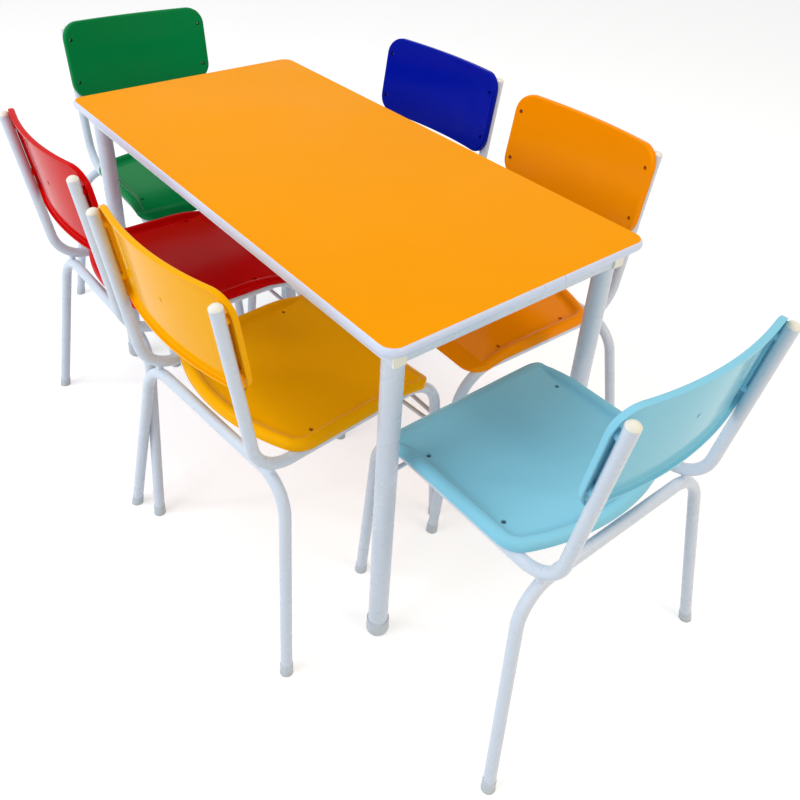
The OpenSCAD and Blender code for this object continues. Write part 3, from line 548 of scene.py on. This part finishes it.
def add_bead(bm, centre, normal, ring_r, bead_r, steps, ripples):
    """A rippled ring of weld metal round a touching place."""
    normal = Vector(normal).normalized()
    rings = []
    for angle, out in steps_round(normal, steps):
        ripple = RIPPLE_DEPTH * math.sin(ripples * angle)
        sway = SWAY_DEPTH * math.sin(SWAY_WAVES * angle + SWAY_START)
        swell = bead_r * (1.0 + ripple + sway)
        ring = []
        for k in range(BEAD_SIDES):
            turn = 2.0 * math.pi * k / BEAD_SIDES
            reach = ring_r + swell * math.cos(turn)
            ring.append(bm.verts.new(centre + out * reach + normal * swell * math.sin(turn)))
        rings.append(ring)
    for i, first in enumerate(rings):
        second = rings[(i + 1) % steps]
        for k in range(BEAD_SIDES):
            n = (k + 1) % BEAD_SIDES
            bm.faces.new((first[k], first[n], second[n], second[k]))


def weld_mesh(colour, bead_r, steps):
    """All the beads of one chair: two at the rear bends and two on the front rod."""
    bm = bmesh.new()
    rod_x = SIDE_X - TUBE_D / 2 - ROD_BEAD_OFF_TUBE
    rod_ring = (ROD_D / 2 + ROD_BEAD_OFF_ROD) * MM
    for side in (-1, 1):
        hoop = Vector((side * SIDE_X, *HOOP_BEAD_PLACE)) * MM
        add_bead(
            bm, hoop, (0.0, *HOOP_BEAD_FACES),
            HOOP_BEAD_RING * MM, bead_r, steps, HOOP_BEAD_RIPPLES)
        rod = Vector((side * rod_x, *ROD_PLACE)) * MM
        add_bead(
            bm, rod, (1.0, 0.0, 0.0),
            rod_ring, bead_r * ROD_BEAD_SHARE, steps, ROD_BEAD_RIPPLES)
    mesh = mesh_of(bm, colour + "_weld_beads")
    mesh.transform(chair_matrix(colour))
    for polygon in mesh.polygons:
        polygon.use_smooth = True
    return mesh


# Gate marks

def surface_hit(node, start, direction):
    """Where a straight line first meets a node of the frame, and the normal there."""
    mesh = frame["nodes"][node].data
    corners = [v.co for v in mesh.vertices]
    tree = BVHTree.FromPolygons(corners, [p.vertices for p in mesh.polygons])
    place, normal, _, _ = tree.ray_cast(start, direction)
    if place is None:
        raise RuntimeError("nothing of " + node + " lies in the line")
    return place, normal if normal.dot(direction) < 0 else -normal


def add_gate(bm, centre, normal, steps):
    """A low turned mark on a surface."""
    rings = []
    for radius, height in GATE_PROFILE:
        ring = []
        for _, out in steps_round(normal, steps if radius else 1):
            ring.append(bm.verts.new(centre + (out * radius + normal * height) * MM))
        rings.append(ring)
    for inner, outer in zip(rings, rings[1:]):
        for i in range(steps):
            n = (i + 1) % steps
            if len(inner) == 1:
                bm.faces.new((inner[0], outer[i], outer[n]))
            else:
                bm.faces.new((inner[i], outer[i], outer[n], inner[n]))
    bm.faces.new(list(reversed(rings[-1])))


def gate_mesh(colour, steps):
    """The marks behind the backrest and under the seat of one chair."""
    bm = bmesh.new()
    matrix = chair_matrix(colour)
    low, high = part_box(colour + "_backrest")
    behind = matrix @ Vector((0.0, -BEHIND_CHAIR, (low[2] + high[2]) / 2))
    forward = matrix.to_3x3() @ Vector((0.0, 1.0, 0.0))
    add_gate(bm, *surface_hit(colour + "_backrest", behind, forward), steps)
    below = matrix @ Vector((0.0, 0.0, BELOW_SEAT))
    upward = Vector((0.0, 0.0, 1.0))
    add_gate(bm, *surface_hit(colour + "_seat", below, upward), steps)
    return mesh_of(bm, colour + "_gate_marks")


# Steps

class MakeLaminate(bpy.types.Operator):
    """Gives the table top its laminate"""
    bl_idname = "table_set.laminate"
    bl_label = "Laminate top"

    def execute(self, context):
        wear("table_top_laminate", laminate(context.scene.table_finish))
        return {"FINISHED"}


class MakeBoard(bpy.types.Operator):
    """Gives the board its chips and the sheet under it"""
    bl_idname = "table_set.board"
    bl_label = "Board and backing"

    def execute(self, context):
        look = context.scene.table_finish
        wear("table_top_board", particle_board(look))
        wear("table_backing_sheet", backing_sheet(look))
        return {"FINISHED"}


class MakeBand(bpy.types.Operator):
    """Gives the edge band its drawn plastic and seam"""
    bl_idname = "table_set.band"
    bl_label = "Edge band"

    def execute(self, context):
        wear("table_edge_band", edge_band(context.scene.table_finish))
        return {"FINISHED"}


class MakeTubes(bpy.types.Operator):
    """Powder coats the table frame and the chair frames"""
    bl_idname = "table_set.tubes"
    bl_label = "Coated tubes"

    def execute(self, context):
        coat = powder_coat(context.scene.tube_finish)
        for name in ("table_long_rails", "table_short_rails", "table_legs"):
            wear(name, coat)
        for colour in CHAIRS:
            for part in ("side_frames", "rear_hoop", "front_brace"):
                wear(f"{colour}_{part}", coat)
        return {"FINISHED"}


class MakeShells(bpy.types.Operator):
    """Moulds the seats and backrests in their six colours"""
    bl_idname = "table_set.shells"
    bl_label = "Seats and backrests"

    def execute(self, context):
        look = context.scene.shell_finish
        for colour in CHAIRS:
            plastic = shell_plastic(colour, getattr(look, colour), look.gloss)
            wear(colour + "_seat", plastic)
            wear(colour + "_backrest", plastic)
            marks = gate_mesh(colour, look.gate_steps)
            add_to_chair(colour, marks, plastic)
        return {"FINISHED"}


class MakeCaps(bpy.types.Operator):
    """Gives the caps, feet and leg shoes their plastics"""
    bl_idname = "table_set.caps"
    bl_label = "Caps and feet"

    def execute(self, context):
        look = context.scene.tube_finish
        cream = cap_plastic(look)
        satin = foot_plastic(look)
        wear("table_rail_caps", cream)
        wear("table_leg_shoes", satin)
        for colour in CHAIRS:
            wear(colour + "_post_caps", cream)
            wear(colour + "_feet", satin)
        return {"FINISHED"}


class MakeFasteners(bpy.types.Operator):
    """Plates the rivets and the screws under the top"""
    bl_idname = "table_set.fasteners"
    bl_label = "Rivets and screws"

    def execute(self, context):
        zinc = zinc_plate(context.scene.tube_finish)
        wear("table_top_screws", zinc)
        for colour in CHAIRS:
            wear(colour + "_rivets", zinc)
        return {"FINISHED"}


class MakeWelds(bpy.types.Operator):
    """Lays the weld beads on each chair frame"""
    bl_idname = "table_set.welds"
    bl_label = "Weld beads"

    def execute(self, context):
        coat = bpy.data.materials["white_tube"]
        look = context.scene.tube_finish
        for colour in CHAIRS:
            beads = weld_mesh(colour, look.bead, look.bead_steps)
            add_to_chair(colour, beads, coat)
        return {"FINISHED"}


# Studio

def area_light(name, place, height, side, tint, mirrored, power):
    """A square lamp; one that isn't mirrored lights a surface without showing in its gloss."""
    lamp = bpy.data.lights.new(name, "AREA")
    lamp.shape = "SQUARE"
    lamp.size = side
    lamp.energy = power
    lamp.color = tint
    holder = bpy.data.objects.new(name, lamp)
    holder.location = place
    aim = Vector((0.0, 0.0, height)) - Vector(place)
    holder.rotation_euler = aim.to_track_quat("-Z", "Y").to_euler()
    holder.visible_glossy = mirrored
    bpy.context.scene.collection.objects.link(holder)


def seen_or_mirrored(tree):
    """1 on rays from the camera, a mirror or a glass, else 0."""
    path = tree.nodes.new("ShaderNodeLightPath")
    total = path.outputs["Is Camera Ray"]
    for name in ("Is Glossy Ray", "Is Transmission Ray"):
        either = tree.nodes.new("ShaderNodeMath")
        either.operation = "MAXIMUM"
        tree.links.new(total, either.inputs[0])
        tree.links.new(path.outputs[name], either.inputs[1])
        total = either.outputs["Value"]
    return total


def floor_material():
    """Pale floor that keeps the shadow and meets the white background."""
    material = bpy.data.materials.new("studio_floor")
    material.use_nodes = True
    tree = material.node_tree
    shader = tree.nodes["Principled BSDF"]
    noise = tree.nodes.new("ShaderNodeTexNoise")
    noise.inputs["Scale"].default_value = FLOOR_CLOUDS
    ramp = tree.nodes.new("ShaderNodeValToRGB")
    for element, grey in zip(ramp.color_ramp.elements, FLOOR_GREYS):
        element.color = (grey, grey, grey, 1.0)
    tree.links.new(noise.outputs["Fac"], ramp.inputs["Fac"])
    tree.links.new(ramp.outputs["Color"], shader.inputs["Base Color"])
    shader.inputs["Roughness"].default_value = FLOOR_ROUGHNESS
    shader.inputs["Specular IOR Level"].default_value = FLOOR_MIRROR
    shader.inputs["Emission Color"].default_value = (*WHITE, 1.0)
    glow = tree.nodes.new("ShaderNodeMath")
    glow.operation = "MULTIPLY"
    glow.inputs[1].default_value = FLOOR_GLOW
    tree.links.new(seen_or_mirrored(tree), glow.inputs[0])
    tree.links.new(glow.outputs["Value"], shader.inputs["Emission Strength"])
    return material


def add_floor(half):
    """A square floor under the set, which isn't part of it."""
    corners = [(-half, -half, 0), (half, -half, 0), (half, half, 0), (-half, half, 0)]
    mesh = bpy.data.meshes.new("studio_floor")
    mesh.from_pydata(corners, [], [(0, 1, 2, 3)])
    mesh.materials.append(floor_material())
    floor = bpy.data.objects.new("studio_floor", mesh)
    bpy.context.scene.collection.objects.link(floor)


def make_world(strength):
    """Even dome; white where it is seen or mirrored."""
    world = bpy.data.worlds.new("studio_dome")
    world.use_nodes = True
    tree = world.node_tree
    back = tree.nodes["Background"]
    back.inputs["Color"].default_value = (*WHITE, 1.0)
    mix = tree.nodes.new("ShaderNodeMix")
    for index, level in zip(MIX_NUMBERS, (strength, 1.0)):
        mix.inputs[index].default_value = level
    tree.links.new(seen_or_mirrored(tree), mix.inputs[MIX_FACTOR])
    tree.links.new(mix.outputs[MIX_NUMBER_OUT], back.inputs["Strength"])
    return world


def make_camera():
    """Camera at the photograph's viewing angle."""
    lens = bpy.data.cameras.new("camera")
    lens.sensor_width = CAMERA_SENSOR
    lens.lens = CAMERA_LENS
    lens.shift_x, lens.shift_y = CAMERA_SHIFT
    lens.dof.use_dof = False
    camera = bpy.data.objects.new("camera", lens)
    camera.location = CAMERA_PLACE
    camera.rotation_euler = [math.radians(a) for a in CAMERA_TURN]
    bpy.context.scene.collection.objects.link(camera)
    return camera


class MakeStudio(bpy.types.Operator):
    """Builds the floor, the lights, the white background and the camera"""
    bl_idname = "table_set.studio"
    bl_label = "Studio"

    def execute(self, context):
        scene = context.scene
        look = scene.studio
        add_floor(look.floor_half)
        for name, lamp in LAMPS.items():
            area_light(name + "_light", *lamp, getattr(look, name))
        scene.world = make_world(look.dome)
        scene.camera = make_camera()
        scene.view_settings.view_transform = "Standard"
        return {"FINISHED"}


# Panel and start

STEPS = (
    MakeLaminate, MakeBoard, MakeBand, MakeTubes, MakeShells, MakeCaps, MakeFasteners,
    MakeWelds, MakeStudio)
GROUPS = {
    "table_finish": TableFinish, "tube_finish": TubeFinish, "shell_finish": ShellFinish,
    "studio": Studio}


class TableSetPanel(bpy.types.Panel):
    """Lists the steps that finish the set"""
    bl_idname = "VIEW3D_PT_table_set"
    bl_label = "Activity table set"
    bl_space_type = "VIEW_3D"
    bl_region_type = "UI"
    bl_category = "Table Set"

    def draw(self, context):
        for step in STEPS:
            self.layout.operator(step.bl_idname)
        for name, group in GROUPS.items():
            box = self.layout.box()
            settings = getattr(context.scene, name)
            for field in group.__annotations__:
                box.prop(settings, field)


def register():
    for group in GROUPS.values():
        bpy.utils.register_class(group)
    for name, group in GROUPS.items():
        setattr(bpy.types.Scene, name, PointerProperty(type=group))
    for step in STEPS:
        bpy.utils.register_class(step)
    bpy.utils.register_class(TableSetPanel)


def unregister():
    bpy.utils.unregister_class(TableSetPanel)
    for step in reversed(STEPS):
        bpy.utils.unregister_class(step)
    for name, group in GROUPS.items():
        delattr(bpy.types.Scene, name)
        bpy.utils.unregister_class(group)


def main():
    """Finishes the set."""
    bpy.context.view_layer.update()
    register()
    bpy.ops.table_set.laminate()
    bpy.ops.table_set.board()
    bpy.ops.table_set.band()
    bpy.ops.table_set.tubes()
    bpy.ops.table_set.shells()
    bpy.ops.table_set.caps()
    bpy.ops.table_set.fasteners()
    bpy.ops.table_set.welds()
    bpy.ops.table_set.studio()


if __name__ == "__main__":
    main()
